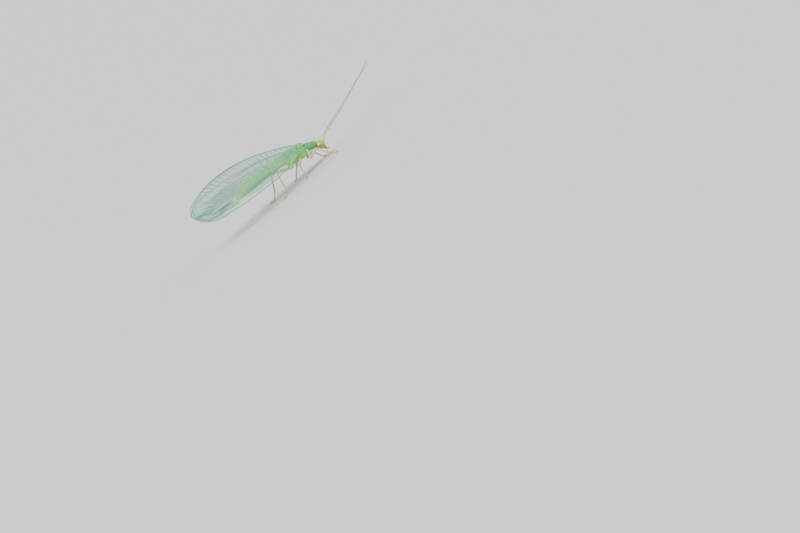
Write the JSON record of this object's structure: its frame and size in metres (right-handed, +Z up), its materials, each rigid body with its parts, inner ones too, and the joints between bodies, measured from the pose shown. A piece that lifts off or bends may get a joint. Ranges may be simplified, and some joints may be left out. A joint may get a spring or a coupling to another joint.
{
  "type": "green lacewing",
  "caption": "Life-size still model of a green lacewing standing with its wings folded like a roof over the body and its feelers held forward.",
  "frame": {"origin": "on the floor, under the middle of the whole insect", "axes": "+X towards the head, +Y towards the insect's left, +Z up"},
  "size_m": [0.0248, 0.0064, 0.006],
  "materials": {
    "head": "yellow-green cuticle, slightly glossy",
    "eye": "golden compound eye, metallic glint",
    "thorax": "leaf-green cuticle, satin",
    "abdomen": "pale green soft cuticle, satin",
    "leg": "pale green to pinkish cream cuticle",
    "feeler": "pinkish brown cuticle",
    "wing": "clear membrane with pale veins and a faint rainbow gloss"
  },
  "bodies": {
    "root": {"head": "head", "eye_left": "eye", "eye_right": "eye", "mouthparts": "feeler", "antenna_left": "feeler", "antenna_right": "feeler", "prothorax": "thorax", "mesothorax": "thorax", "metathorax": "thorax", "abdomen": "abdomen", "forewing_left": "wing", "forewing_right": "wing", "hindwing_left": "wing", "hindwing_right": "wing", "leg_front_left": "leg", "leg_front_right": "leg", "leg_mid_left": "leg", "leg_mid_right": "leg", "leg_hind_left": "leg", "leg_hind_right": "leg"}
  },
  "joints": []
}
